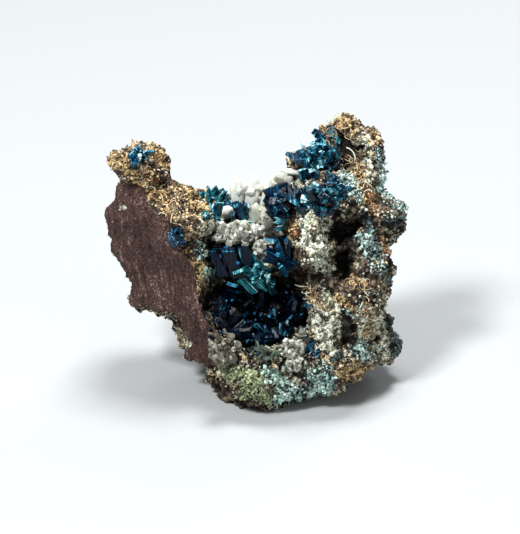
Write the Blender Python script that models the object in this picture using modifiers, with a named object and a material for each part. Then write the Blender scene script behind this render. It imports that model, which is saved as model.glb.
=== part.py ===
"""A veszelyite specimen on its gossan matrix: one rock with crystal clusters seated on it.

The stone is described in millimetres as it faces its viewer: across to the right, depth away
from the viewer and up. It is then leaned back by LEAN about the cross axis, so that it rests
on its broken, flat underside at z = 0 with the origin in the middle of that rest face.
"""

import math
import random

import bmesh
import bpy
from mathutils import Matrix, Vector
from mathutils.bvhtree import BVHTree

MM = 0.001
LEAN = math.radians(25)
REST_SPOT = (1.0, 4.0, 2.1)

# How far a crystal cluster stands clear of the rock that it grew from.
CLEARANCE = 0.36

# How fine the meshes are: voxel sizes, the share of triangles that is kept, the angle under
# which faces count as one flat and the distance under which corners are one.
ROCK_VOXEL = 0.36
ROCK_TRIANGLE_SHARE = 0.133
CLEARANCE_VOXEL = 0.6
CLEARANCE_TRIANGLE_SHARE = 0.16
FLAT_ENOUGH = math.radians(3)
WELD = 0.0004

# The rock's relief: size of the swells and of the pits, how strong each is and the level
# of its pattern that neither raises nor lowers the surface.
LUMPY = (1.9, 1.8, 0.55)
PITTED = (1.2, 1.1, 0.5)

# Lumps that the rock is grown from: centre across, depth, up, then the three radii.
ROCK_LUMPS = (
    (-9.3, 0.8, 15.2, 3.5, 5.4, 4.8),
    (-10.9, -2.2, 20.3, 1.6, 2.4, 1.6),
    (-9.2, -2.8, 20.6, 1.7, 2.0, 1.7),
    (-6.8, -0.8, 15.4, 2.7, 4.8, 2.8),
    (-5.0, 2.6, 15.2, 2.6, 3.0, 3.0),
    (-7.3, 1.0, 11.9, 3.7, 6.0, 4.4),
    (-3.6, 1.0, 7.3, 3.4, 5.8, 3.8),
    (-9.7, 2.4, 9.8, 1.5, 3.2, 1.7),
    (0.0, 0.8, 3.7, 4.7, 5.2, 4.0),
    (4.8, 1.0, 4.9, 4.2, 5.4, 3.9),
    (-1.2, 3.4, 13.2, 4.5, 3.7, 4.4),
    (6.2, 0.4, 11.6, 4.4, 6.0, 6.4),
    (5.6, -0.4, 16.8, 3.7, 4.9, 4.1),
    (6.6, -1.0, 21.4, 2.2, 2.7, 2.8),
    (8.8, -0.8, 21.6, 1.4, 2.2, 1.7),
    (8.7, -0.2, 18.3, 1.5, 3.0, 2.7),
    (10.3, -0.2, 15.9, 1.9, 3.4, 1.7),
    (8.3, 0.2, 11.4, 2.1, 4.6, 3.2),
    (9.3, 3.2, 5.9, 2.2, 3.1, 2.5),
    (4.0, -5.2, 13.8, 1.6, 1.8, 2.6),
    (0.0, 4.6, 9.0, 6.2, 3.6, 6.2),
    (0.2, 5.2, 5.7, 4.8, 3.5, 3.8),
    (2.6, 1.2, 15.2, 3.0, 3.9, 3.3),
    (3.4, -0.8, 19.0, 1.5, 2.2, 2.2),
)

# Hollows weathered out of it: the bowl, the vug, the tall holes and the small cups.
BOWL = (-2.2, -4.8, 19.4, 4.8, 5.0, 4.8)
VUG = (-0.3, -3.2, 9.2, 4.5, 6.4, 4.5)
ROCK_HOLLOWS = (
    BOWL,
    VUG,
    (0.7, -3.2, 15.0, 1.2, 3.6, 1.8),
    (6.8, -5.8, 14.7, 1.9, 4.6, 1.8),
    (6.9, -5.6, 12.3, 1.6, 4.2, 2.2),
    (4.3, -6.2, 10.5, 1.6, 2.2, 0.9),
    (2.9, -4.8, 8.0, 1.5, 3.8, 1.5),
    (7.2, -5.2, 6.2, 1.2, 3.2, 1.7),
    (7.0, -4.0, 21.3, 1.7, 2.4, 1.9),
    (9.6, -4.4, 15.2, 1.0, 1.8, 1.0),
    (5.2, -5.6, 9.2, 1.6, 1.2, 0.7),
    (-7.8, -5.6, 12.6, 1.0, 1.8, 0.9),
    (3.8, -4.8, 4.6, 0.9, 1.2, 0.8),
)

# Knobs that stand in the hollows: the step behind the fan and the saddle's sill.
ROCK_KNOBS = (
    (-1.6, 1.6, 11.8, 3.6, 3.2, 1.5),
    (-2.4, 1.2, 14.6, 3.4, 2.6, 0.9),
    (0.8, 0.8, 13.0, 1.4, 2.4, 1.6),
)

# The dark fracture face: a point on it, the way it looks and how far right of that point the
# break ran before it turned up out of the rock. The block that breaks it off has a middle
# that lies FRACTURE_DROP lower, reaches FRACTURE_HALF each way and is FRACTURE_DEPTH deep.
FRACTURE_SPOT = (-11.9, -3.9, 19.1)
FRACTURE_LOOKS = (-0.556, -0.709, -0.433)
FRACTURE_EDGE = 5.4
FRACTURE_DROP = 8.0
FRACTURE_HALF = 14.0
FRACTURE_DEPTH = 12.0

# The side of the block that takes off the underside along the rest face.
UNDERSIDE_BLOCK = 60.0

# Clusters of crystals: name, where the middle of the root sits on the rock (across, depth,
# up), how wide the root spreads each way, how far the crystals reach, how many there are,
# the way that they lean (across, depth, up) and a seed.
VESZELYITE_CLUSTERS = (
    ("veszelyite_summit", (4.6, -2.8, 20.4), (1.0, 0.6, 1.2), 2.1, 8, (-0.5, -0.8, 0.2), 11),
    ("veszelyite_shoulder", (4.2, -4.8, 17.0), (1.0, 0.4, 0.7), 1.9, 6, (-0.2, -0.9, 0.1), 12),
    ("veszelyite_brow", (1.7, -2.6, 17.2), (0.7, 0.4, 0.9), 2.0, 6, (-0.4, -0.8, 0.0), 13),
    ("veszelyite_hook", (1.1, -3.0, 13.0), (0.4, 0.4, 0.8), 1.9, 5, (-0.6, -0.7, -0.1), 14),
    ("veszelyite_fan", (-0.6, -1.4, 11.0), (0.9, 0.3, 0.6), 1.9, 6, (0.0, -0.9, 0.2), 15),
    ("veszelyite_block", (-3.2, -1.2, 12.5), (1.0, 0.4, 0.4), 2.0, 5, (0.1, -0.9, -0.2), 16),
    ("veszelyite_saddle", (-2.1, 0.2, 16.3), (0.6, 0.3, 0.5), 1.4, 5, (0.1, -0.8, 0.3), 17),
    ("veszelyite_rim", (-4.1, 1.4, 17.8), (0.7, 0.3, 0.2), 1.1, 4, (0.1, -0.5, 0.8), 18),
    ("veszelyite_horn", (-10.2, -4.2, 20.9), (0.4, 0.2, 0.6), 1.1, 4, (0.3, -0.8, 0.3), 19),
    ("veszelyite_slope", (-7.0, -4.4, 14.3), (0.4, 0.3, 0.5), 1.1, 4, (0.2, -0.9, 0.2), 22),
    ("veszelyite_ledge", (-4.9, -1.7, 16.0), (0.5, 0.4, 0.4), 1.2, 4, (0.0, -0.8, 0.5), 21),
)
HEMIMORPHITE_CLUSTERS = (
    ("hemimorphite_saddle", (-0.9, 1.6, 17.6), (1.1, 0.6, 0.6), 1.8, 7, (0.0, -0.4, 0.9), 31),
    ("hemimorphite_crest", (1.8, 1.0, 18.4), (0.8, 0.6, 0.4), 1.3, 5, (0.1, -0.4, 0.9), 32),
    ("hemimorphite_ledge", (-2.1, -0.8, 14.6), (1.7, 0.5, 0.6), 1.2, 7, (0.0, -0.9, 0.1), 33),
    ("hemimorphite_pillar", (-0.4, -1.4, 13.4), (0.3, 0.3, 0.4), 0.9, 4, (0.0, -0.9, 0.3), 34),
    ("hemimorphite_foot", (-3.2, -3.8, 4.9), (1.0, 0.4, 0.8), 1.0, 6, (0.0, -0.9, 0.4), 35),
    ("hemimorphite_sill", (2.2, -3.8, 4.4), (0.9, 0.4, 1.0), 1.0, 6, (0.0, -0.9, 0.4), 36),
)

# How crystals stand in a cluster: the lean's weight against the rock's own normal, how far
# each strays from that, how far it fans out from the root, and the root lump's share of reach.
LEAN_WEIGHT = 1.6
STRAY = 0.6
FAN_OUT = 0.3
ROOT_SHARE = 0.35

# A chisel crystal's tip against its root: its width, its thickness, the height of its short
# side, and how deep the root is sunk, as a share of the length.
CHISEL_TIP_WIDTH = 0.72
CHISEL_TIP_THICKNESS = 0.32
CHISEL_SHORT_SIDE = 0.72
CHISEL_SUNK = 0.1

# A column crystal's head against its root.
COLUMN_HEAD = 0.72

# The dark crust on the vug's floor and back: its mounds, then how many blades stand on it.
CRUST_MOUNDS = (
    (-2.6, 1.8, 7.6, 2.0, 2.0, 2.0),
    (0.6, 2.6, 8.2, 2.4, 2.0, 2.0),
    (-1.0, 0.4, 5.6, 2.6, 2.6, 1.6),
    (1.4, -0.6, 5.9, 2.0, 2.4, 1.6),
    (3.2, 0.6, 8.0, 1.5, 2.2, 1.7),
    (-3.6, -0.6, 6.9, 1.4, 2.2, 1.5),
)
CRUST_CRYSTALS = 14
CRUST_SEED = 51


def stance():
    """The matrix from the viewer's millimetres to the resting frame in metres."""
    lean = Matrix.Rotation(-LEAN, 4, "X")
    return lean @ Matrix.Scale(MM, 4) @ Matrix.Translation(-Vector(REST_SPOT))


def spot(point):
    return stance() @ Vector(point)


def way(direction):
    return (Matrix.Rotation(-LEAN, 3, "X") @ Vector(direction)).normalized()


def clear_scene():
    for old in list(bpy.data.objects):
        bpy.data.objects.remove(old)


def new_collection(name):
    made = bpy.data.collections.new(name)
    bpy.context.scene.collection.children.link(made)
    return made


def material(name, colour, roughness, metallic=0.0):
    made = bpy.data.materials.new(name)
    made.use_nodes = True
    shader = made.node_tree.nodes["Principled BSDF"]
    shader.inputs["Base Color"].default_value = (*colour, 1.0)
    shader.inputs["Roughness"].default_value = roughness
    shader.inputs["Metallic"].default_value = metallic
    return made


def mesh_object(name, bm, collection, finish=None):
    mesh = bpy.data.meshes.new(name)
    bm.to_mesh(mesh)
    bm.free()
    made = bpy.data.objects.new(name, mesh)
    collection.objects.link(made)
    if finish:
        mesh.materials.append(finish)
    return made


def helper(obj):
    obj.hide_render = True
    obj.display_type = "WIRE"
    return obj


def modifier(obj, name, kind, **settings):
    made = obj.modifiers.new(name, kind)
    for key, value in settings.items():
        setattr(made, key, value)
    return made


def relief(obj, name, kind, settings):
    """Raises and lowers a surface by a noise pattern."""
    size, strength, level = settings
    pattern = bpy.data.textures.new(name, kind)
    pattern.noise_scale = size * MM
    modifier(obj, name, "DISPLACE", texture=pattern, strength=strength * MM, mid_level=level)


def ellipsoid(bm, lump, subdivisions):
    """One lump, as a scaled icosphere in the resting frame."""
    place = stance() @ Matrix.Translation(lump[:3]) @ Matrix.Diagonal((*lump[3:], 1.0))
    bmesh.ops.create_icosphere(bm, subdivisions=subdivisions, radius=1.0, matrix=place)


def islands(bm):
    """The connected bodies of a mesh, as lists of vertices."""
    left = set(bm.verts)
    found = []
    while left:
        edge_of_body = [left.pop()]
        body = list(edge_of_body)
        while edge_of_body:
            vert = edge_of_body.pop()
            for edge in vert.link_edges:
                other = edge.other_vert(vert)
                if other in left:
                    left.remove(other)
                    body.append(other)
                    edge_of_body.append(other)
        found.append(body)
    return found


def settle(obj):
    """Applies the modifiers and keeps the one large body, so that no crumb is left loose."""
    bpy.context.view_layer.update()
    graph = bpy.context.evaluated_depsgraph_get()
    mesh = bpy.data.meshes.new_from_object(obj.evaluated_get(graph))
    bm = bmesh.new()
    bm.from_mesh(mesh)
    bmesh.ops.remove_doubles(bm, verts=bm.verts, dist=WELD * MM)
    bmesh.ops.dissolve_degenerate(bm, edges=bm.edges, dist=WELD * MM)
    bodies = sorted(islands(bm), key=len, reverse=True)
    crumbs = [vert for body in bodies[1:] for vert in body]
    bmesh.ops.delete(bm, geom=crumbs, context="VERTS")
    bmesh.ops.dissolve_limit(bm, angle_limit=FLAT_ENOUGH, verts=bm.verts, edges=bm.edges)
    bmesh.ops.triangulate(bm, faces=bm.faces)
    bm.to_mesh(mesh)
    bm.free()
    obj.modifiers.clear()
    obj.data = mesh
    return obj


def rock_body(parts, cutters, finish):
    bm = bmesh.new()
    for lump in ROCK_LUMPS:
        ellipsoid(bm, lump, 4)
    rock = mesh_object("matrix_rock", bm, parts, finish)
    voxels = {"mode": "VOXEL", "voxel_size": ROCK_VOXEL * MM}
    modifier(rock, "join_lumps", "REMESH", **voxels)

    for number, hollow in enumerate(ROCK_HOLLOWS):
        bm = bmesh.new()
        ellipsoid(bm, hollow, 3)
        cutter = helper(mesh_object(f"hollow_{number}", bm, cutters))
        modifier(rock, cutter.name, "BOOLEAN", operation="DIFFERENCE", object=cutter)
    bm = bmesh.new()
    for knob in ROCK_KNOBS:
        ellipsoid(bm, knob, 3)
    knobs = helper(mesh_object("knobs", bm, cutters))
    modifier(rock, "knobs", "BOOLEAN", operation="UNION", object=knobs, use_self=True)
    modifier(rock, "soften", "REMESH", **voxels)

    relief(rock, "lumpy", "CLOUDS", LUMPY)
    relief(rock, "pitted", "VORONOI", PITTED)
    modifier(rock, "close", "REMESH", **voxels)
    modifier(rock, "thin_out", "DECIMATE", ratio=ROCK_TRIANGLE_SHARE)

    fracture = fracture_block(cutters)
    modifier(rock, "fracture", "BOOLEAN", operation="DIFFERENCE", object=fracture)

    bm = bmesh.new()
    side = UNDERSIDE_BLOCK * MM
    bmesh.ops.create_cube(bm, size=side, matrix=Matrix.Translation((0, 0, -side / 2)))
    underside = helper(mesh_object("underside", bm, cutters))
    modifier(rock, "rest_face", "BOOLEAN", operation="DIFFERENCE", object=underside)
    return settle(rock)


def fracture_block(cutters):
    """A four-sided block whose small face breaks the rock flat, and whose sides flare away."""
    face_turn = Vector(FRACTURE_LOOKS).to_track_quat("Z", "Y").to_matrix().to_4x4()
    middle = Vector((FRACTURE_EDGE - FRACTURE_HALF, -FRACTURE_DROP, FRACTURE_DEPTH / 2))
    place = Matrix.Translation(FRACTURE_SPOT) @ face_turn @ Matrix.Translation(middle)
    corner = math.sqrt(2)
    bm = bmesh.new()
    bmesh.ops.create_cone(
        bm,
        cap_ends=True,
        segments=4,
        radius1=corner * FRACTURE_HALF,
        radius2=corner * (FRACTURE_HALF + FRACTURE_DEPTH),
        depth=FRACTURE_DEPTH,
        matrix=stance() @ place @ Matrix.Rotation(math.radians(45), 4, "Z"),
    )
    return helper(mesh_object("fracture_side", bm, cutters))


def clearance_body(rock, cutters):
    """A coarse copy of the rock, grown outward by the clearance, that trims the crystals."""
    grown = rock.copy()
    grown.data = rock.data.copy()
    grown.name = "rock_clearance"
    cutters.objects.link(grown)
    modifier(grown, "grow", "DISPLACE", strength=CLEARANCE * MM, mid_level=0.0)
    modifier(grown, "even_out", "REMESH", mode="VOXEL", voxel_size=CLEARANCE_VOXEL * MM)
    modifier(grown, "thin_out", "DECIMATE", ratio=CLEARANCE_TRIANGLE_SHARE)
    return helper(settle(grown))


def chisel_crystal(bm, place, length, width, thickness):
    """A flat blade with a slanted chisel end, its root at the place's origin along +Z."""
    made = bmesh.ops.create_cube(bm, size=1.0)["verts"]
    for vert in made:
        at_tip = vert.co.z > 0
        short_side = vert.co.x > 0
        vert.co.x *= width * (CHISEL_TIP_WIDTH if at_tip else 1.0)
        vert.co.y *= thickness * (CHISEL_TIP_THICKNESS if at_tip else 1.0)
        top = length * (CHISEL_SHORT_SIDE if short_side else 1.0)
        vert.co.z = top if at_tip else -CHISEL_SUNK * length
    bmesh.ops.transform(bm, matrix=place, verts=made)


def column_crystal(bm, place, length, width):
    """A stout six-sided column with a blunt head."""
    made = bmesh.ops.create_cone(
        bm,
        cap_ends=True,
        segments=6,
        radius1=width / 2,
        radius2=COLUMN_HEAD * width / 2,
        depth=length,
        matrix=Matrix.Translation((0, 0, 0.4 * length)),
    )["verts"]
    bmesh.ops.transform(bm, matrix=place, verts=made)


def facing(origin, direction, roll):
    """A matrix whose +Z runs along the direction, in metres scaled from millimetres."""
    turn = direction.to_track_quat("Z", "Y").to_matrix().to_4x4()
    return Matrix.Translation(origin) @ turn @ Matrix.Rotation(roll, 4, "Z") @ Matrix.Scale(MM, 4)


def cluster(rock_tree, spec, shape, parts, finish, clearance):
    """Crystals that radiate from one root on the rock, trimmed clear of it."""
    name, seat, spread, reach, count, lean, seed = spec
    draw = random.Random(seed)
    root, normal, _, _ = rock_tree.find_nearest(spot(seat))
    outward = (normal + LEAN_WEIGHT * way(lean)).normalized()
    bm = bmesh.new()
    seat = stance().inverted() @ root
    ellipsoid(bm, (*seat, *[side + ROOT_SHARE * reach for side in spread]), 1)
    for number in range(count):
        stray = Vector([draw.uniform(-1, 1) for _ in range(3)])
        turn = math.tau * number / count
        shift = Vector((math.cos(turn), draw.uniform(-0.5, 0.5), math.sin(turn)))
        start = spot([s + 0.9 * w * t for s, w, t in zip(seat, spread, shift)])
        direction = (outward + STRAY * stray + FAN_OUT * way(shift)).normalized()
        place = facing(start, direction, draw.uniform(0, math.tau))
        length = reach * draw.uniform(0.75, 1.05)
        if shape == "chisel":
            width = length * draw.uniform(0.6, 0.9)
            chisel_crystal(bm, place, length, width, width * draw.uniform(0.45, 0.6))
        else:
            column_crystal(bm, place, length, length * draw.uniform(0.7, 1.0))
    made = mesh_object(name, bm, parts, finish)
    modifier(made, "trim", "BOOLEAN", operation="DIFFERENCE", object=clearance, use_self=True)
    return settle(made)


def vug_crust(parts, finish, clearance):
    """The bed of dark crystals on the vug's floor and back, with the blades that stand on it."""
    draw = random.Random(CRUST_SEED)
    bm = bmesh.new()
    for mound in CRUST_MOUNDS:
        ellipsoid(bm, mound, 2)
    for number in range(CRUST_CRYSTALS):
        across, depth, up, wide, deep, tall = CRUST_MOUNDS[number % len(CRUST_MOUNDS)]
        out = Vector((draw.uniform(-0.8, 0.8), -1.0, draw.uniform(-0.2, 1.0))).normalized()
        root = (across + 0.6 * wide * out.x, depth + 0.6 * deep * out.y, up + 0.6 * tall * out.z)
        place = facing(spot(root), way(out), draw.uniform(0, math.tau))
        length = draw.uniform(1.6, 2.4)
        width = length * draw.uniform(0.45, 0.7)
        chisel_crystal(bm, place, length, width, 0.5 * width)
    crust = mesh_object("vug_crystal_crust", bm, parts, finish)
    modifier(crust, "trim", "BOOLEAN", operation="DIFFERENCE", object=clearance, use_self=True)
    return settle(crust)


def main():
    clear_scene()
    parts = new_collection("veszelyite_specimen")
    cutters = new_collection("cutters")
    gossan = material("gossan", (0.30, 0.21, 0.12), 0.9)
    veszelyite = material("veszelyite", (0.01, 0.09, 0.20), 0.15)
    hemimorphite = material("hemimorphite", (0.75, 0.73, 0.68), 0.3)

    rock = rock_body(parts, cutters, gossan)
    clearance = clearance_body(rock, cutters)
    graph = bpy.context.evaluated_depsgraph_get()
    rock_tree = BVHTree.FromObject(rock, graph)
    for spec in VESZELYITE_CLUSTERS:
        cluster(rock_tree, spec, "chisel", parts, veszelyite, clearance)
    for spec in HEMIMORPHITE_CLUSTERS:
        cluster(rock_tree, spec, "column", parts, hemimorphite, clearance)
    vug_crust(parts, veszelyite, clearance)


main()
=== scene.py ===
"""The look of a veszelyite specimen: gossan matrix, dark blue crystals and milky hemimorphite.

Tables give millimetres as the stone faces its viewer: across to the right, depth away from the
viewer and up. The stance leans them back into the frame that the stone rests in, in metres.
"""

import math
import random

import bmesh
import bpy
import numpy as np
from bpy.props import FloatProperty, FloatVectorProperty, PointerProperty
from mathutils import Matrix, Vector, noise
from mathutils.bvhtree import BVHTree


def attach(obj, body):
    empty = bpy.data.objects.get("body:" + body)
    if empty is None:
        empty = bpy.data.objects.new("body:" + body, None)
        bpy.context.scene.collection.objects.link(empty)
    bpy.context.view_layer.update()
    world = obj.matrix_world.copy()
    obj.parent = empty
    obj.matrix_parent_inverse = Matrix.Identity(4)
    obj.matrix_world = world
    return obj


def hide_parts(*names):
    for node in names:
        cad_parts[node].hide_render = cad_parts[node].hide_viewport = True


bl_info = {
    "name": "Veszelyite Specimen",
    "version": (1, 0, 0),
    "blender": (4, 5, 0),
    "location": "View3D > Sidebar > Specimen",
    "description": "Dresses the solids of a veszelyite specimen with stone, crystals and light",
    "category": "Object",
}

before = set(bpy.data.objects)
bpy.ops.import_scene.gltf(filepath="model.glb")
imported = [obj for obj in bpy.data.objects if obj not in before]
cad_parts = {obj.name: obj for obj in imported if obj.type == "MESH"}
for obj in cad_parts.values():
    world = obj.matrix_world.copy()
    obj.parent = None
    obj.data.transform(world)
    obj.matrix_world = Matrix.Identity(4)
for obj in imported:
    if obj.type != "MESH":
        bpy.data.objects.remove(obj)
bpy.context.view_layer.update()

MM = 0.001
BODY = "root"
LEAN = math.radians(25)

# The points that come to rest at the origin and at the middle of the view.
REST_SPOT = (1.0, 4.0, 2.1)
VIEW_MIDDLE = (-0.17, 0.0, 11.75)

# The fracture face: a point on it, the way it looks, and the (across, up) that it stays left
# of and above.
FRACTURE_SPOT = (-11.9, -3.9, 19.1)
FRACTURE_LOOKS = (-0.556, -0.709, -0.433)
FRACTURE_CORNER = (-3.5, 3.5)

# Sizes of the forms that the rock's relief is made of.
SWELL = 1.7
RIDGE = 0.9
LUMP = 1.15
GRAIN = 0.5
CRUMB = 0.27
SCRATCH = 0.3

# Heights over the rest face, in metres: the relief is whole from the first, and grains are
# strewn from the second.
RELIEF_FROM = 0.25 * MM
GRAINS_FROM = 0.5 * MM

# The depth, in front of the stone, that rays at it start from.
RAY_START = -40

# How many rays find out how closed in a vertex is.
HOLLOW_RAYS = 12

# Points of a solid nearer than this, in metres, are one.
JOINED = 0.001 * MM

# Zones of colour on the side that faces the viewer, as strips: from (across, up) to
# (across, up), then half the strip's width. The scar belongs to the fracture face, and the
# dark is the shade of hollows.
ZONES = {
    "scar": (
        (-13.0, 18.4, -10.4, 17.6, 1.0), (-10.4, 17.0, -8.6, 14.6, 0.9), (-8.6, 14.0, -7.0, 11.0, 0.9),
        (-13.0, 17.6, -12.6, 12.4, 1.2), (-12.4, 12.0, -10.9, 9.4, 0.9),
    ),
    "slate": (
        (11.0, 7.4, 11.5, 4.6, 0.7), (6.4, 4.4, 5.8, 3.9, 0.4), (8.4, 16.0, 8.9, 15.0, 0.5),
        (10.6, 15.6, 11.5, 15.4, 0.5), (10.6, 10.8, 10.9, 9.6, 0.4), (9.6, 12.0, 10.0, 11.2, 0.5),
        (3.6, 3.0, 4.2, 2.4, 0.4),
    ),
    # Umber is brown stone, and on the neck's wall, from (-7.3, 17.8) to (-6.3, 16.4), painted shade of
    # a hollow.
    "umber": (
        (9.6, 16.4, 11.6, 15.4, 0.9), (7.6, 16.8, 8.8, 15.2, 0.6), (6.0, 10.4, 9.2, 9.2, 0.6),
        (5.6, 22.4, 7.4, 20.9, 1.0), (-4.8, 1.6, -1.0, 0.4, 0.8), (-5.6, 9.0, -4.8, 4.4, 0.8),
        (0.0, 11.2, 3.8, 10.0, 0.6), (2.8, 9.6, 3.4, 6.8, 0.6), (9.0, 12.0, 9.8, 8.0, 0.5),
        (3.0, 12.6, 3.6, 11.0, 0.8), (-9.0, 20.0, -8.0, 19.0, 0.5), (-6.6, 15.2, -5.8, 13.0, 0.5),
        (-8.9, 17.0, -8.0, 15.6, 0.35), (-7.3, 17.8, -6.3, 16.4, 0.6), (-5.9, 16.0, -5.4, 15.2, 0.4),
    ),
    "ochre": (
        (-12.6, 20.6, -9.8, 19.4, 0.8), (-9.0, 21.4, -8.0, 20.2, 0.5), (-10.6, 19.2, -8.2, 16.9, 0.6),
        (-8.2, 16.8, -6.2, 13.4, 0.45), (-5.6, 12.3, -4.9, 9.8, 0.6), (6.1, 24.0, 7.4, 23.4, 0.8),
        (8.2, 18.8, 9.3, 16.4, 0.6), (7.0, 10.4, 8.2, 10.2, 0.5), (8.7, 7.8, 8.8, 5.3, 0.5),
        (7.0, 8.9, 7.4, 8.2, 0.35), (-7.4, 18.2, -5.4, 16.6, 0.8), (5.8, 9.6, 6.6, 8.9, 0.3),
        (6.2, 7.9, 6.5, 6.9, 0.25), (7.0, 2.8, 9.4, 4.0, 0.7), (3.6, 9.9, 5.0, 8.4, 0.35),
        (2.0, 15.6, 2.6, 14.9, 0.7),
    ),
    "tan": (
        (-7.6, 18.4, -5.0, 15.6, 1.6), (-10.6, 21.9, -8.0, 21.4, 0.5), (-11.6, 20.9, -9.6, 20.0, 0.5),
        (-10.2, 18.6, -8.4, 17.4, 0.5), (4.6, 22.8, 5.4, 21.4, 0.6), (6.6, 23.6, 9.0, 22.6, 0.7),
        (9.2, 22.6, 8.4, 19.8, 0.7), (9.6, 12.2, 10.4, 9.4, 0.7), (5.4, 4.0, 6.6, 3.0, 0.6),
    ),
    "cream": (
        (4.0, 16.2, 4.6, 12.6, 1.3), (4.8, 12.6, 5.2, 11.8, 0.6), (-4.4, 14.8, -0.4, 14.3, 0.9),
        (-1.4, 17.4, 0.4, 15.4, 1.0), (0.2, 13.6, 0.6, 12.0, 0.6), (8.4, 22.8, 8.9, 18.8, 0.45),
        (7.7, 18.4, 8.2, 16.6, 0.35), (9.9, 16.2, 10.8, 15.9, 0.3), (3.4, 9.0, 4.6, 8.0, 0.4),
        (5.4, 9.2, 6.4, 6.6, 0.6), (2.6, 4.6, 3.8, 3.2, 0.5), (9.4, 9.4, 9.9, 4.4, 0.9),
        (3.8, 8.4, 5.4, 5.6, 0.6), (8.3, 9.2, 8.3, 6.6, 0.4), (5.2, 5.4, 6.4, 4.4, 0.4),
        (9.6, 14.4, 10.2, 13.4, 0.5),
    ),
    "rust": (
        (-9.4, 19.6, -8.6, 18.3, 0.5), (-7.4, 12.9, -6.4, 12.0, 0.9), (8.6, 18.2, 9.4, 16.4, 0.4),
        (10.0, 14.0, 10.2, 13.0, 0.4), (-11.1, 12.0, -10.7, 9.6, 0.5), (7.2, 12.0, 7.5, 10.6, 0.35),
        (2.3, 15.8, 2.8, 14.4, 0.35), (3.4, 9.8, 4.0, 9.4, 0.3),
    ),
    "teal": (
        (6.7, 19.2, 7.8, 17.6, 0.6), (10.3, 18.2, 11.3, 16.9, 0.7), (8.6, 13.9, 9.4, 12.1, 0.8),
        (9.6, 21.4, 10.2, 18.6, 0.4), (5.0, 3.4, 5.4, 1.8, 0.7), (1.6, 1.3, 4.2, 1.3, 0.8),
        (-5.3, 13.3, -5.0, 12.8, 0.5), (8.1, 5.1, 8.6, 4.4, 0.7), (4.4, 2.9, 5.2, 1.9, 0.6),
        (6.9, 8.2, 7.4, 7.6, 0.3), (-12.6, 21.6, -11.2, 21.9, 0.4), (2.4, 7.8, 3.4, 6.6, 0.5),
    ),
    "mint": (
        (-2.8, 3.0, -0.5, 2.4, 0.7), (-1.4, 1.3, 0.8, 0.9, 0.6),
    ),
    "frost": (
        (0.4, 2.9, 1.6, 2.3, 0.6), (1.2, 0.8, 3.0, 0.9, 0.4), (4.3, 2.8, 5.2, 1.7, 0.6),
        (8.1, 5.2, 8.5, 4.6, 0.4), (-4.4, 11.3, -4.2, 10.7, 0.5),
    ),
    "moss": (
        (-0.9, 4.9, 1.6, 4.1, 0.8), (-3.0, 9.4, -1.6, 8.6, 0.7),
    ),
    "azure": (
        (3.8, 5.5, 4.4, 4.9, 0.4), (3.6, 8.9, 4.0, 8.6, 0.25), (5.6, 18.8, 6.6, 17.8, 0.5),
    ),
    "dark": (
        (6.7, 15.1, 7.2, 13.8, 1.2), (6.6, 12.6, 6.8, 11.6, 0.8), (4.2, 10.8, 5.6, 10.2, 0.8),
        (2.6, 8.3, 2.9, 7.5, 1.0), (7.1, 7.0, 7.3, 5.4, 0.8), (6.3, 22.1, 7.2, 21.6, 0.6),
        (0.8, 15.4, 0.8, 14.0, 0.6), (-4.6, 10.4, 2.6, 8.0, 1.7), (-3.8, 7.6, 1.6, 7.0, 1.2),
        (-4.4, 12.8, -0.8, 12.2, 0.9),
    ),
}

# Each veszelyite cluster: the middle of its root as (across, up), how far the root spreads
# each way, how many crystals, their length from and to, the way they lean (across, depth,
# up), how much they stray from it, their tone from and to, and a seed.
VESZELYITE = {
    "summit": ((4.7, 20.9), (1.3, 2.0), 34, (0.5, 1.2), (-0.6, -0.7, 0.35), 0.5, (0.15, 0.6), 11),
    "shoulder": ((4.9, 17.3), (1.8, 1.1), 46, (0.6, 1.4), (-0.2, -0.9, 0.2), 0.6, (0.05, 0.5), 12),
    "brow": ((1.8, 16.9), (1.0, 1.3), 20, (0.7, 1.4), (-0.2, -0.8, 0.35), 0.4, (0.0, 0.4), 13),
    "hook": ((1.3, 12.7), (0.7, 1.2), 10, (0.6, 1.2), (-0.6, -0.6, 0.3), 0.6, (0.0, 0.5), 14),
    "fan": ((-0.8, 10.6), (1.3, 0.9), 22, (0.5, 1.1), (0.1, -0.8, 0.5), 0.6, (0.2, 0.7), 15),
    "block": ((-2.6, 12.3), (1.5, 0.7), 6, (0.6, 1.1), (0.1, -0.8, 0.3), 0.3, (0.0, 0.1), 16),
    "saddle": ((-1.7, 16.4), (0.9, 0.8), 10, (0.6, 1.2), (0.2, -0.8, 0.3), 0.5, (0.2, 0.6), 17),
    "rim": ((-3.9, 17.6), (1.2, 0.6), 16, (0.4, 0.9), (0.1, -0.6, 0.7), 0.5, (0.3, 0.7), 18),
    "horn": ((-10.2, 20.6), (0.6, 1.0), 18, (0.3, 0.7), (0.2, -0.8, 0.3), 0.4, (0.3, 0.6), 19),
    "slope": ((-7.0, 14.3), (0.5, 0.7), 12, (0.4, 0.8), (0.2, -0.9, 0.2), 0.6, (0.2, 0.6), 20),
    "ledge": ((-4.3, 15.7), (0.7, 0.4), 12, (0.4, 0.8), (0.1, -0.8, 0.4), 0.5, (0.25, 0.55), 21),
}

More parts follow.
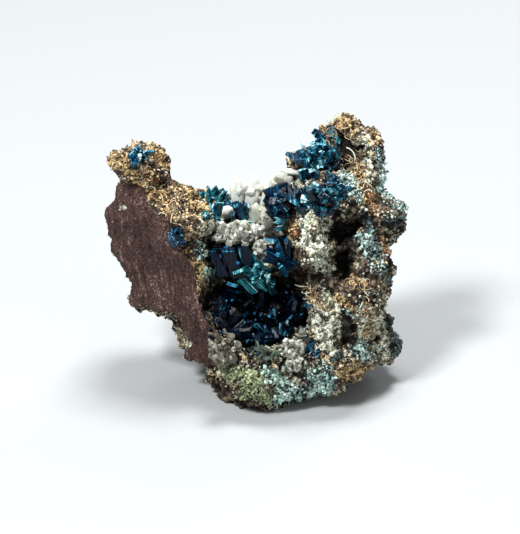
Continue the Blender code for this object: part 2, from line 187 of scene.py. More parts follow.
# Large crystals of those clusters: the root and the way it points and the way its broad face
# looks, each (across, depth, up), then length, width, thickness, plates and tone.
LARGE = {
    "summit": (
        ((5.6, -2.4, 19.9), (-0.85, -0.4, 0.45), (0.3, -0.5, 0.8), (3.1, 1.6, 1.1), 6, 0.16),
        ((5.1, -2.7, 19.1), (-0.9, -0.45, 0.15), (0.1, -0.5, 0.8), (2.5, 1.1, 0.9), 5, 0.26),
        ((5.9, -2.0, 20.9), (-0.6, -0.45, 0.7), (0.6, -0.6, 0.5), (2.2, 1.2, 0.8), 4, 0.48),
        ((5.9, -1.8, 21.3), (-0.15, -0.4, 0.9), (0.2, -0.9, -0.3), (1.7, 1.3, 0.8), 4, 0.46),
        ((5.1, -2.4, 20.9), (-0.8, -0.5, 0.4), (0.2, -0.8, 0.5), (1.8, 0.8, 0.5), 3, 0.52),
        ((5.0, -3.0, 18.6), (-0.5, -0.6, -0.1), (0.3, -0.5, 0.8), (1.7, 0.9, 0.7), 4, 0.26),
        ((6.2, -2.4, 19.6), (0.1, -0.8, 0.5), (0.3, -0.5, -0.8), (1.6, 1.2, 0.8), 4, 0.14),
        ((5.6, -1.9, 22.0), (-0.5, -0.6, 0.5), (0.3, -0.8, -0.4), (1.7, 1.3, 0.8), 3, 0.42),
        ((6.0, -2.0, 22.4), (-0.1, -0.6, 0.7), (-0.3, -0.8, -0.5), (1.2, 1.2, 0.7), 3, 0.42),
        ((5.0, -2.2, 21.6), (-0.6, -0.6, 0.4), (0.2, -0.8, 0.5), (1.4, 1.0, 0.6), 3, 0.45),
        ((5.2, -1.4, 22.4), (-0.5, -0.6, 0.5), (0.2, -0.9, -0.3), (1.3, 1.3, 0.8), 4, 0.44),
        ((5.9, -1.6, 22.7), (-0.1, -0.6, 0.6), (-0.2, -0.9, -0.3), (1.1, 1.2, 0.7), 4, 0.25),
        ((4.4, -2.6, 18.9), (-0.6, -0.6, 0.3), (0.2, -0.7, 0.6), (1.4, 1.1, 0.6), 3, 0.3),
    ),
    "brow": (
        ((1.8, -2.2, 15.9), (0.05, -0.35, 0.93), (-0.3, -0.9, -0.2), (2.6, 1.6, 1.1), 5, 0.04),
        ((1.0, -2.0, 16.2), (-0.25, -0.4, 0.85), (0.4, -0.9, -0.2), (2.1, 1.2, 0.8), 4, 0.2),
        ((2.6, -2.4, 16.2), (0.2, -0.4, 0.85), (0.1, -0.9, -0.2), (2.2, 1.2, 0.8), 4, 0.08),
        # These two pale crystals are painted glints: their high tone stands in for light caught on
        # them.
        ((2.2, -2.6, 15.7), (-0.8, -0.6, -0.05), (0.0, -0.4, 0.9), (1.7, 0.9, 0.5), 4, 0.74),
        ((1.9, -2.5, 15.2), (-0.6, -0.7, -0.2), (0.0, -0.4, 0.9), (1.4, 0.9, 0.4), 3, 0.6),
    ),
    "shoulder": (
        ((3.9, -4.3, 16.9), (-0.35, -0.75, 0.55), (0.4, -0.7, -0.5), (2.0, 1.7, 1.2), 5, 0.02),
        ((5.2, -4.3, 17.3), (0.25, -0.75, 0.55), (-0.3, -0.7, -0.5), (1.9, 1.5, 1.1), 5, 0.03),
        ((4.6, -4.4, 16.3), (-0.1, -0.9, -0.1), (0.4, -0.4, 0.8), (1.7, 1.5, 0.9), 4, 0.0),
        # This pale one, on the right, is a painted glint.
        ((6.1, -4.2, 17.9), (0.2, -0.8, 0.4), (0.4, -0.7, -0.5), (1.5, 1.0, 0.7), 4, 0.46),
    ),
    "block": (
        ((-3.5, -1.5, 11.6), (0.0, -0.42, 0.9), (-0.15, -0.9, -0.4), (1.9, 1.8, 1.2), 3, 0.15),
        ((-2.5, -1.7, 11.5), (0.02, -0.42, 0.9), (0.05, -0.9, -0.4), (2.1, 2.0, 1.3), 4, 0.12),
        ((-1.4, -1.5, 11.8), (0.05, -0.42, 0.9), (0.2, -0.9, -0.4), (1.9, 1.7, 1.1), 3, 0.18),
    ),
    "fan": (
        ((0.0, -0.9, 10.3), (-0.66, -0.45, 0.6), (-0.4, -0.8, -0.4), (2.5, 2.1, 0.8), 6, 0.5),
        ((-1.0, -1.0, 10.0), (-0.45, -0.55, 0.65), (-0.5, -0.8, -0.3), (1.8, 1.4, 0.7), 4, 0.46),
        ((0.6, -0.9, 9.9), (-0.2, -0.55, 0.75), (0.2, -0.9, -0.3), (1.8, 1.2, 0.8), 4, 0.3),
    ),
    "hook": (
        ((2.1, -2.9, 12.0), (-0.75, -0.4, 0.5), (-0.3, -0.7, -0.6), (2.4, 1.1, 0.8), 5, 0.3),
        ((1.8, -2.7, 12.3), (-0.2, -0.45, 0.9), (-0.4, -0.9, -0.3), (2.3, 1.2, 0.9), 4, 0.1),
        ((1.9, -3.0, 11.4), (-0.3, -0.6, 0.2), (-0.6, -0.7, 0.4), (1.6, 0.9, 0.6), 3, 0.36),
    ),
    "saddle": (
        ((-1.8, 0.2, 15.6), (0.05, -0.5, 0.8), (0.3, -0.9, -0.2), (1.8, 1.1, 0.8), 4, 0.36),
        # This pale crystal is a painted glint: its high tone stands in for light caught on it.
        ((-1.0, -0.1, 15.3), (-0.75, -0.65, 0.05), (0.0, -0.4, 0.9), (1.8, 0.9, 0.5), 4, 0.78),
        ((-2.2, 0.4, 16.2), (-0.35, -0.45, 0.8), (-0.3, -0.9, -0.2), (1.4, 0.8, 0.6), 3, 0.45),
    ),
    "rim": (((-5.4, 1.0, 16.9), (-0.1, -0.3, 0.9), (0.2, -0.9, -0.2), (1.4, 0.5, 0.4), 2, 0.6),),
    "slope": (((-6.6, -4.0, 13.6), (-0.3, -0.5, 0.7), (-0.3, -0.9, -0.2), (1.3, 0.9, 0.7), 4, 0.25),),
}

# How teal each cluster is, where it isn't plain blue.
TEAL = {
    "fan": 0.75, "rim": 0.7, "ledge": 0.8, "summit": 0.3,
    "shoulder": 0.35, "saddle": 0.3, "horn": 0.15, "slope": 0.2,
}

# How many places are tried for each small crystal of a cluster, at most.
TRIES = 6

# How much lighter a small crystal is painted, as a glint where it seems to catch the light, and the
# share that get this painted glint, in the clusters and in the vug.
GLINT = 0.4
GLINT_SHARE = 0.16
VUG_GLINT_SHARE = 0.05

# The vug's crystals: how many are tried and how many of them are large, where they may stand
# across and up, the ellipse of the vug's mouth by its middle and half width and height, their
# lengths and their tones from and to, the tone of their bed, and a seed.
VUG_TRIES = 420
VUG_LARGE = 45
VUG_ACROSS = (-5.0, 3.9)
VUG_UP = (4.4, 11.4)
VUG_MIDDLE = (-0.7, 8.0)
VUG_REACH = (4.4, 3.4)
VUG_LENGTHS = {"large": (0.9, 1.8), "small": (0.2, 0.7)}
VUG_TONES = {"large": (-0.05, 0.22), "small": (0.0, 0.3)}
VUG_BED_TONE = -0.1
VUG_SEED = 51

# Each hemimorphite cluster: root, spread, count, length and lean as above, stray, tone from
# and to, the share of rounded lumps among its blades, and a seed.
HEMIMORPHITE = {
    "saddle": ((-0.9, 17.3), (1.5, 1.0), 12, (0.6, 1.1), (0.1, -0.6, 0.7), 0.4, (0.4, 0.9), 0.3, 31),
    "crest": ((1.7, 18.5), (1.2, 0.5), 10, (0.6, 1.0), (0.3, -0.6, 0.6), 0.4, (0.3, 0.8), 0.3, 32),
    "ledge": ((-2.3, 14.6), (2.3, 0.8), 120, (0.3, 0.8), (0.0, -0.9, 0.3), 0.8, (0.1, 0.9), 0.4, 33),
    "pillar": ((0.2, 13.1), (0.8, 1.0), 40, (0.3, 0.8), (0.0, -0.9, 0.2), 0.8, (0.3, 1.0), 0.4, 34),
    "foot": ((-3.2, 5.1), (1.2, 1.4), 90, (0.3, 0.7), (0.0, -0.9, 0.4), 0.8, (-0.1, 0.2), 0.4, 35),
    "sill": ((2.5, 4.9), (1.2, 1.6), 110, (0.3, 0.7), (0.0, -0.9, 0.4), 0.8, (0.1, 0.8), 0.4, 36),
}

# How much larger their lumps and blades are than the lengths above.
LUMP_SWELL = 1.3
BLADE_SWELL = 1.2

# Large milky crystals of those clusters: root, ways, length, width, thickness and tone.
LARGE_MILKY = {
    "saddle": (
        ((-2.0, 1.2, 16.9), (-0.05, -0.3, 0.95), (0.1, -0.95, -0.3), (2.6, 1.2, 0.8), 0.9),
        ((-0.9, 1.3, 16.9), (0.1, -0.3, 0.95), (-0.2, -0.95, -0.3), (2.8, 1.2, 0.8), 1.0),
        ((0.3, 1.0, 16.6), (0.2, -0.35, 0.9), (0.2, -0.9, -0.3), (2.5, 1.2, 0.8), 0.85),
        ((-2.9, 0.5, 15.9), (0.0, -0.7, 0.6), (0.3, -0.6, -0.7), (1.4, 1.2, 1.0), 0.95),
        ((-3.5, 0.4, 15.8), (-0.2, -0.7, 0.5), (-0.3, -0.6, -0.7), (1.2, 1.1, 0.9), 0.9),
        ((0.3, 0.4, 15.0), (0.1, -0.5, 0.85), (0.3, -0.8, -0.4), (2.2, 1.4, 1.0), 0.7),
        ((-0.4, 0.6, 15.4), (-0.1, -0.5, 0.85), (-0.3, -0.8, -0.4), (2.0, 1.2, 0.9), 0.6),
    ),
    "crest": (
        ((3.1, 0.3, 18.0), (-0.85, -0.3, 0.35), (0.1, -0.5, 0.8), (2.7, 1.2, 0.9), 0.75),
        ((3.8, -1.9, 19.6), (-0.96, -0.1, 0.06), (0.1, -0.5, 0.8), (2.3, 0.8, 0.5), 1.0),
        ((2.6, -0.2, 17.6), (-0.3, -0.5, 0.75), (0.3, -0.8, -0.4), (1.8, 1.3, 0.9), 0.55),
        ((1.0, 0.4, 17.6), (0.1, -0.4, 0.85), (-0.3, -0.8, -0.4), (1.9, 1.3, 0.9), 0.65),
    ),
}

# Small crystals and grains strewn over the stone: the zone that they favour or None for all of
# it, how many, their size from and to, their shape, finish and a seed.
STREWN = {
    "ochre_grains": ("ochre", 1500, (0.1, 0.3), "crumb", "ochre", 61),
    "tan_grains": ("tan", 900, (0.1, 0.26), "crumb", "tan", 62),
    "cream_grains": ("cream", 1700, (0.12, 0.3), "crumb", "cream", 63),
    "teal_druse": ("teal", 300, (0.1, 0.3), "blade", "teal", 64),
    "teal_beads": ("teal", 1200, (0.1, 0.34), "crumb", "aqua", 69),
    "mint_beads": ("mint", 450, (0.12, 0.36), "bead", "mint", 65),
    "mint_fibres": ("mint", 150, (0.4, 0.9), "strand", "mint", 74),
    "frost_grains": ("frost", 500, (0.12, 0.4), "crumb", "frost", 75),
    "rust_grains": ("rust", 320, (0.1, 0.28), "crumb", "rust", 66),
    "loose_grains": ("plain", 2600, (0.09, 0.34), "crumb", "mixed", 67),
    "front_grains": ("front", 2200, (0.09, 0.3), "crumb", "mixed", 73),
    "moss_lumps": ("moss", 110, (0.25, 0.6), "blade", "moss", 71),
    "azure_chips": ("azure", 110, (0.2, 0.5), "blade", "azure", 76),
    "pale_sparks": (None, 380, (0.08, 0.2), "blade", "spark", 68),
    "curled_fibres": ("fibre", 500, (0.5, 1.2), "strand", "tan", 70),
    "pale_fibres": ("fibre", 40, (0.9, 1.8), "strand", "cream", 72),
}

# Where curled fibres grow: strips as in the zones.
FIBRES = (
    (6.0, 23.0, 7.8, 20.6, 0.9), (7.8, 20.6, 8.4, 18.4, 0.5), (-9.6, 19.6, -7.2, 15.6, 0.6),
    (6.6, 10.9, 8.2, 10.2, 0.5), (3.6, 10.0, 5.2, 8.6, 0.5), (8.4, 9.8, 9.0, 6.4, 0.4),
)

# The stone's own colours in its zones, one over the other in this order: darkest and lightest. The
# umber is also painted shade where its strip lies on the neck's wall.
PATCHES = {
    "tan": ((0.045, 0.028, 0.012), (0.72, 0.56, 0.35)),
    "ochre": ((0.05, 0.028, 0.01), (0.64, 0.47, 0.24)),
    "cream": ((0.12, 0.115, 0.08), (0.84, 0.9, 0.74)),
    "rust": ((0.04, 0.015, 0.007), (0.44, 0.24, 0.11)),
    "frost": ((0.03, 0.06, 0.045), (0.64, 0.84, 0.74)),
    "teal": ((0.006, 0.014, 0.014), (0.56, 0.72, 0.66)),
    "mint": ((0.014, 0.022, 0.01), (0.54, 0.61, 0.34)),
    "umber": ((0.01, 0.008, 0.006), (0.2, 0.15, 0.1)),
    "slate": ((0.004, 0.008, 0.009), (0.13, 0.19, 0.18)),
}

# Each kind of grain: its darkest and lightest colour and its roughness.
GRAIN_FINISHES = {
    "ochre": ((0.045, 0.026, 0.01), (0.66, 0.5, 0.27), 0.7),
    "tan": ((0.04, 0.026, 0.012), (0.74, 0.59, 0.38), 0.8),
    "cream": ((0.1, 0.096, 0.07), (0.76, 0.8, 0.66), 0.5),
    "teal": ((0.002, 0.012, 0.016), (0.32, 0.54, 0.52), 0.2),
    "aqua": ((0.012, 0.026, 0.024), (0.72, 0.86, 0.8), 0.35),
    "moss": ((0.004, 0.01, 0.008), (0.09, 0.13, 0.1), 0.35),
    "azure": ((0.002, 0.01, 0.024), (0.026, 0.13, 0.22), 0.15),
    "mint": ((0.016, 0.022, 0.01), (0.46, 0.52, 0.31), 0.5),
    "rust": ((0.035, 0.013, 0.006), (0.38, 0.21, 0.1), 0.7),
    "frost": ((0.06, 0.11, 0.085), (0.66, 0.86, 0.76), 0.35),
    "mixed": ((0.006, 0.004, 0.003), (0.54, 0.515, 0.39), 0.7),
    "spark": ((0.4, 0.42, 0.4), (0.85, 0.86, 0.84), 0.15),
}

# Grains that take the brown stain of the stone under them, and what it leaves of their red,
# green and blue.
STAINED = ("tan", "cream", "mixed")
STAIN = (0.92, 0.68, 0.42)

# How strongly each dark blue glass mirrors.
GLASS_SHINE = {"blue_glass": 0.3, "deep_glass": 0.2}

# The painted shade, a near black that stands in for shadow: what is left of any colour deep in a hole.
PAINTED_SHADE = (0.009, 0.006, 0.005, 1.0)

# Zones whose relief is grains, with few ridges and pits.
GRAINY = ("cream", "ochre", "teal", "mint", "tan")

SKY_STRENGTH = 0.26

# The lamps: name, place from the middle of the view in metres, side of the panel and power.
LIGHTS = (
    ("key", (-0.12, -0.16, 0.26), 0.06, 1.15),
    ("fill", (0.25, -0.18, 0.1), 0.16, 0.16),
    ("top", (0.03, 0.06, 0.3), 0.1, 0.85),
    ("back", (0.16, 0.24, 0.16), 0.12, 0.25),
    ("low", (0.05, -0.26, -0.01), 0.14, 0.1),
)


def stance():
    """The matrix from the viewer's millimetres to the resting frame in metres."""
    lean = Matrix.Rotation(-LEAN, 4, "X")
    return lean @ Matrix.Scale(MM, 4) @ Matrix.Translation(-Vector(REST_SPOT))


STANCE = stance()


def spot(across, depth, up):
    """A point in the resting frame."""
    return STANCE @ Vector((across, depth, up))


def way(direction):
    """A unit direction in the resting frame."""
    return (STANCE.to_3x3() @ Vector(direction)).normalized()


def linked(name, data):
    """An object in the scene that shows this data."""
    made = bpy.data.objects.new(name, data)
    bpy.context.scene.collection.objects.link(made)
    return made


def mesh_object(name, mesh, finish):
    """An object at the origin that rides on the stone's one body."""
    made = linked(name, mesh)
    mesh.materials.append(finish)
    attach(made, BODY)
    return made


def remeshed(mesh, voxel):
    """The mesh in small even squares."""
    holder = linked("holder", mesh)
    remesh = holder.modifiers.new("remesh", "REMESH")
    remesh.mode = "VOXEL"
    remesh.voxel_size = voxel
    graph = bpy.context.evaluated_depsgraph_get()
    made = bpy.data.meshes.new_from_object(holder.evaluated_get(graph))
    bpy.data.objects.remove(holder)
    return made


def tree_of(mesh):
    """The mesh as a tree that rays can be cast at."""
    bm = bmesh.new()
    bm.from_mesh(mesh)
    made = BVHTree.FromBMesh(bm)
    bm.free()
    return made


def vectors(mesh, name):
    """The place or the normal of each vertex, one row each."""
    flat = np.empty(3 * len(mesh.vertices), np.float32)
    mesh.vertices.foreach_get(name, flat)
    return flat.reshape(-1, 3)


def positions(mesh):
    """Each vertex in metres, one row each."""
    return vectors(mesh, "co").astype(float)


def seen_positions(mesh):
    """Each vertex in the viewer's millimetres, one row each."""
    back = np.array(STANCE.inverted())
    return positions(mesh) @ back[:3, :3].T + back[:3, 3]


def store(mesh, name, values, domain="POINT"):
    """Writes one value for each vertex or face, which materials read by its name."""
    layer = mesh.attributes.new(name, "FLOAT", domain)
    layer.data.foreach_set("value", np.asarray(values, np.float32))


def values_of(mesh, name):
    """The values stored for each vertex under this name."""
    values = np.empty(len(mesh.vertices), np.float32)
    mesh.attributes[name].data.foreach_get("value", values)
    return values


def strip_weight(seen, strips):
    """1 in the middle of any strip, 0.5 at its edge, 0 further out."""
    weight = np.zeros(len(seen))
    for across, up, end_across, end_up, half in strips:
        run = np.array((end_across - across, end_up - up))
        off = seen[:, [0, 2]] - (across, up)
        share = np.clip(off @ run / (run @ run), 0, 1)
        away = np.linalg.norm(off - share[:, None] * run, axis=1)
        weight = np.maximum(weight, np.clip(1.25 - 0.75 * away / half, 0, 1))
    return weight


class Signal:
    """A shader socket that Python's operators work on, each adding its Math node."""

    def __init__(self, tree, socket=None):
        self.tree = tree
        self.socket = socket

    def node(self, kind, settings=None, sockets=None, output=0):
        """Adds a node: its settings first, then its sockets' values or links."""
        made = self.tree.nodes.new(kind)
        for key, value in (settings or {}).items():
            if key == "stops":
                set_stops(made.color_ramp, value)
            else:
                setattr(made, key, value)
        for key, value in (sockets or {}).items():
            if isinstance(value, Signal):
                self.tree.links.new(value.socket, made.inputs[key])
            else:
                made.inputs[key].default_value = value
        return Signal(self.tree, made.outputs[output])

    def maths(self, operation, *terms):
        """Adds a Math node."""
        return self.node("ShaderNodeMath", {"operation": operation}, dict(enumerate(terms)))

    def __add__(self, other):
        return self.maths("ADD", self, other)

    def __radd__(self, other):
        return self.maths("ADD", other, self)

    def __sub__(self, other):
        return self.maths("SUBTRACT", self, other)

    def __rsub__(self, other):
        return self.maths("SUBTRACT", other, self)

    def __mul__(self, other):
        return self.maths("MULTIPLY", self, other)

    def __rmul__(self, other):
        return self.maths("MULTIPLY", other, self)

    def step(self, low, high):
        """0 under low, 1 over high and smooth between."""
        sockets = {"Value": self, "From Min": low, "From Max": high}
        return self.node("ShaderNodeMapRange", {"interpolation_type": "SMOOTHSTEP"}, sockets)

    def clouds(self, size, detail=4.0, roughness=0.6):
        """Noise with swells of this size in millimetres."""
        sockets = {"Vector": self, "Scale": 1 / (size * MM), "Detail": detail}
        return self.node("ShaderNodeTexNoise", {}, {**sockets, "Roughness": roughness})

    def grains(self, size, output="Distance"):
        """Cells of this size in millimetres: the distance to a cell's middle, or its colour."""
        sockets = {"Vector": self, "Scale": 1 / (size * MM)}
        return self.node("ShaderNodeTexVoronoi", {}, sockets, output)

    def chance(self, size):
        """A value for each cell of this size."""
        return self.node("ShaderNodeSeparateColor", {}, {"Color": self.grains(size, "Color")})

    def blend(self, other, share):
        """This colour, turning into the other by the share."""
        return self.node("ShaderNodeMix", {"data_type": "RGBA"}, {0: share, 6: self, 7: other}, 2)

    def ramp(self, *stops):
        """A colour for each value, from stops of a value and a colour."""
        return self.node("ShaderNodeValToRGB", {"stops": stops}, {"Fac": self})


def set_stops(ramp, stops):
    """Colour stops, each a place and a colour."""
    while len(ramp.elements) < len(stops):
        ramp.elements.new(1.0)
    for element, (place, colour) in zip(ramp.elements, stops):
        element.position = place
        element.color = (*colour, 1.0)


class Finish:
    """A material with its Principled shader, and where its node expressions start."""

    def __init__(self, name, **constants):
        self.material = bpy.data.materials.new(name)
        self.material.use_nodes = True
        self.tree = self.material.node_tree
        self.shader = self.tree.nodes["Principled BSDF"]
        for key, value in constants.items():
            self.shader.inputs[key.replace("_", " ")].default_value = value
        self.start = Signal(self.tree)
        self.place = self.start.node("ShaderNodeTexCoord", output="Object")

    def value(self, name):
        """A value stored on the mesh."""
        return self.start.node("ShaderNodeAttribute", {"attribute_name": name}, output="Fac")

    def stain(self):
        """Where the stone is stained brown."""
        return self.place.clouds(1.1, 3.0, 0.5).step(0.5, 0.62)

    def feed(self, **signals):
        """Links signals to the shader's sockets of those names."""
        for key, signal in signals.items():
            self.tree.links.new(signal.socket, self.shader.inputs[key.replace("_", " ")])

    def bump(self, height, distance, strength=1.0):
        """Relief of this many millimetres."""
        sockets = {"Height": height, "Distance": distance * MM, "Strength": strength}
        self.feed(Normal=self.start.node("ShaderNodeBump", {}, sockets))


def gossan_finish(colours):
    """Weathered stone: a salt-and-pepper body with patches of its own colours, with painted shade in
    hollows and crevices and painted light on raised grains.
    """
    made = Finish("gossan_stone")
    place = made.place
    fine = place.clouds(0.3, 5.0, 0.7)
    broad = place.clouds(2.6, 3.0, 0.5)
    crumb = place.chance(0.12)
    grain = 0.6 * made.value("grain") + 0.4 * made.value("crumb")
    speck = 1.8 * (0.62 * grain + 0.38 * crumb) - 0.4
    # The ridge term paints raised grains lighter and pits darker: painted light and shade.
    tone = 0.74 * speck + 0.3 * made.value("ridge") + 0.6 * (fine - 0.5) + 0.55 * (broad - 0.5)
    tone = tone - 0.12 * made.value("away")
    body = tone.ramp(
        (0.16, (0.01, 0.007, 0.006)),
        (0.32, (0.034, 0.024, 0.016)),
        (0.44, (0.11, 0.086, 0.056)),
        (0.56, (0.27, 0.24, 0.16)),
        (0.68, (0.5, 0.49, 0.37)),
        (0.82, colours.stone),
    )
    green = place.clouds(1.7, 2.0, 0.5).step(0.52, 0.66) * 0.55
    body = body.blend(speck.ramp((0.2, (0.02, 0.035, 0.03)), (0.75, (0.33, 0.4, 0.32))), green)
    brown = speck.ramp((0.2, (0.03, 0.016, 0.007)), (0.75, (0.46, 0.3, 0.14)))
    body = body.blend(brown, made.stain() * 0.6)
    spread = 0.45 + 0.45 * made.value("away")
    drift = {
        "tan": place.clouds(3.1, 3.0, 0.5).step(0.52, 0.64) * spread,
        "umber": (0.55 - place.clouds(2.3, 3.0, 0.5)).step(0.04, 0.14) * spread,
        "ochre": place.clouds(1.6, 3.0, 0.5).step(0.58, 0.68) * spread * made.value("away"),
    }
    for name, (low, high) in PATCHES.items():
        half = [0.65 * dark + 0.35 * light for dark, light in zip(low, high)]
        shade = speck.ramp((0.2, low), (0.46, half), (0.74, high))
        edge = made.value(name) + drift.get(name, 0.0) + 0.7 * (fine - 0.5) + 0.6 * (grain - 0.5)
        body = body.blend(shade, edge.step(0.36, 0.62))
    turned = {"Vector": place, "Rotation": (0.44, 0.0, 0.35), "Scale": (1.0, 1.0, 0.2)}
    drag = place.node("ShaderNodeMapping", {}, turned).clouds(0.3, 4.0, 0.7)
    scar = (0.8 * drag + 0.6 * place.clouds(2.2, 3.0) + 0.28 * crumb - 0.33).ramp(
        (0.25, (0.01, 0.005, 0.004)),
        (0.46, (0.045, 0.022, 0.018)),
        (0.64, colours.fracture),
        (0.86, (0.36, 0.28, 0.24)),
    )
    scar_edge = made.value("fracture") + 0.3 * (fine - 0.5) + 0.3 * (grain - 0.5)
    body = body.blend(scar, scar_edge.step(0.45, 0.6))
    # Painted shade: the dark zone, the hollowness and the crevices turn the stone towards near black,
    # standing in for shadow.
    shaded = made.value("dark") + 0.5 * (fine - 0.5) + 0.4 * (grain - 0.5)
    body = body.blend(PAINTED_SHADE, shaded.step(0.35, 0.8) * 0.88)
    body = body.blend(PAINTED_SHADE, made.value("hollow").step(0.3, 0.72) * 0.92)
    body = body.blend(PAINTED_SHADE, made.value("crevice").step(0.52, 0.95) * 0.85)
    spark = crumb.step(0.93, 0.96)
    made.feed(Base_Color=body, Roughness=0.92 - 0.55 * spark)
    rough = 1 - 0.5 * made.value("fracture")
    made.bump(rough * (fine + 0.7 * (1 - place.grains(0.16))), 0.14, 0.9)
    return made.material


def veszelyite_finish(name, shine, colours):
    """Glassy blue: near black where the tone is low, azure and teal where it is raised. The paler end,
    up to near white, is painted light: light shining through and glints.
    """
    made = Finish(name, IOR=1.65, Specular_IOR_Level=shine)
    place = made.place
    stripe = {"W": made.value("stripe"), "Scale": 5.0, "Detail": 4.0, "Roughness": 0.75}
    streak = made.start.node("ShaderNodeTexNoise", {"noise_dimensions": "1D"}, stripe)
    # The tone, stripes and clouds are partly the crystal's own colour; the painted glint, the stripes'
    # peaks and the ramp's pale end are painted glints and light shining through.
    depth = made.value("tone") + 0.5 * made.value("flash") - 0.02
    depth = depth + 1.1 * (streak - 0.5) + 0.6 * (place.clouds(0.45, 3.0) - 0.5)
    colour = depth.ramp(
        (0.0, (0.001, 0.002, 0.005)),
        (0.25, (0.002, 0.008, 0.022)),
        (0.42, (0.004, 0.032, 0.08)),
        (0.54, colours.crystal),
        (0.66, (0.03, 0.25, 0.34)),
        (0.8, (0.22, 0.52, 0.58)),
        (0.95, (0.72, 0.88, 0.88)),
    )
    teal = depth.ramp(
        (0.1, (0.001, 0.005, 0.009)),
        (0.36, (0.003, 0.034, 0.052)),
        (0.52, (0.008, 0.108, 0.145)),
        (0.66, (0.045, 0.285, 0.33)),
        (0.8, (0.26, 0.58, 0.59)),
        (0.95, (0.74, 0.9, 0.88)),
    )
    share = made.value("teal") + 0.8 * (place.clouds(0.9, 2.0) - 0.5)
    colour = colour.blend(teal, share.step(0.1, 0.7))
    made.feed(Base_Color=colour, Roughness=0.05 + 0.3 * place.clouds(0.25, 3.0))
    made.bump(streak + 0.5 * place.clouds(0.12, 3.0), 0.07, 0.8)
    return made.material


def hemimorphite_finish(colours):
    """Milky crystal, cream to white, with cloudy depths."""
    made = Finish("milky_glass", IOR=1.62, Subsurface_Weight=0.3, Subsurface_Scale=0.4 * MM)
    made.shader.inputs["Subsurface Radius"].default_value = (1.0, 0.9, 0.7)
    place = made.place
    cloud = 0.45 * (place.clouds(0.7, 4.0, 0.6) - 0.5) + made.value("tone")
    colour = cloud.ramp(
        (0.0, (0.095, 0.082, 0.06)),
        (0.3, (0.23, 0.222, 0.18)),
        (0.55, (0.4, 0.41, 0.35)),
        (0.9, colours.milk),
    )
    made.feed(Base_Color=colour, Roughness=0.3 + 0.4 * place.clouds(0.3, 3.0))
    made.bump(place.clouds(0.16, 4.0), 0.08, 0.9)
    return made.material


def grain_finish(name, low, high, roughness):
    """Small grains, each with a tone between two colours."""
    made = Finish(f"{name}_grain", IOR=1.5)
    tone = made.value("tone") + 0.3 * (made.place.clouds(0.1, 3.0) - 0.5)
    colour = tone.ramp((0.1, low), (0.9, high))
    if name in STAINED:
        brown = [[part * share for part, share in zip(shade, STAIN)] for shade in (low, high)]
        stained = tone.ramp((0.1, brown[0]), (0.9, brown[1]))
        colour = colour.blend(stained, made.stain() * 0.7)
    # Painted shade: a grain in a hollow of the rock turns towards near black.
    hollow_shade = made.value("hollow").step(0.28, 0.7) * 0.93
    made.feed(Base_Color=colour.blend(PAINTED_SHADE, hollow_shade))
    made.shader.inputs["Roughness"].default_value = roughness
    made.bump(made.place.clouds(0.07, 3.0), 0.03, 0.6)
    return made.material


class Heap:
    """Many small shapes gathered into one mesh, with a tone for each shape."""

    def __init__(self, seed):
        self.bm = bmesh.new()
        self.draw = random.Random(seed)
        self.tones = []
        self.hollows = []
        self.stripes = []

    def add(self, shape, place, tone, hollow=0.0):
        """Takes a copy of a shape, put in its place."""
        copy = shape.copy()
        across = positions(copy)[:, 0] * place.to_3x3().col[0].length / MM
        copy.transform(place)
        self.bm.from_mesh(copy)
        self.tones += [tone] * len(copy.vertices)
        # The hollow is how closed in the rock is under the shape, by which its finish paints shade.
        self.hollows += [hollow] * len(copy.vertices)
        self.stripes.append(across + self.draw.uniform(0, 50))
        bpy.data.meshes.remove(copy)

    def finish(self, name, finish, slot):
        """The finished piece, which ends the heap."""
        mesh = bpy.data.meshes.new(name)
        self.bm.to_mesh(mesh)
        self.bm.free()
        store(mesh, "tone", self.tones)
        store(mesh, "hollow", self.hollows)
        store(mesh, "stripe", np.concatenate(self.stripes))
        # Painted glints: a few faces at random get a high value, which the blue glass turns paler, as
        # if they caught the light.
        painted_glints = [self.draw.random() ** 4 for _ in mesh.polygons]
        store(mesh, "flash", painted_glints, "FACE")
        return mesh_object(name, mesh, finish)


def shape_of(bm, name):
    """A mesh of what the bmesh holds, which ends it."""
    mesh = bpy.data.meshes.new(name)
    bm.to_mesh(mesh)
    bm.free()
    return mesh


def soften_edges(bm, width):
    """A narrow chamfer along every edge."""
    bmesh.ops.bevel(
        bm,
        geom=bm.edges,
        offset=width,
        offset_type="OFFSET",
        affect="EDGES",
        segments=1,
        profile=0.5,
        material=-1,
    )


def crystal(draw, plates, blunt):
    """A unit crystal of parallel plates with pointed ends, its root at the origin.

    The plates stack along Y. Blunt ones end almost square.
    """
    bm = bmesh.new()
    for number in range(plates):
        made = bmesh.ops.create_cone(
            bm, cap_ends=True, segments=6, radius1=1.0, radius2=1.0, depth=1.0
        )["verts"]
        top = draw.uniform(0.82, 1.0)
        wide = draw.uniform(0.4, 0.52)
        left = top * (draw.uniform(0.93, 0.99) if blunt else draw.uniform(0.55, 0.85))
        right = top * (draw.uniform(0.93, 0.99) if blunt else draw.uniform(0.62, 0.9))
        outline = (
            (wide, -0.2),
            (wide * 0.9, right),
            (draw.uniform(-0.15, 0.2), top),
            (-wide * 0.9, left),
            (-wide, -0.2),
            (0.0, -0.25),
        )
        for vert in made:
            side = round(math.atan2(vert.co.y, vert.co.x) / (math.pi / 3)) % 6
            across, along = outline[side]
            depth = vert.co.z * (0.96 if side in (0, 4, 5) or blunt else 0.7)
            middle = number + 0.5 - plates / 2
            vert.co = (across, (depth + middle) / plates, along)
    bmesh.ops.recalc_face_normals(bm, faces=bm.faces)
    soften_edges(bm, 0.014)
    return shape_of(bm, "crystal")


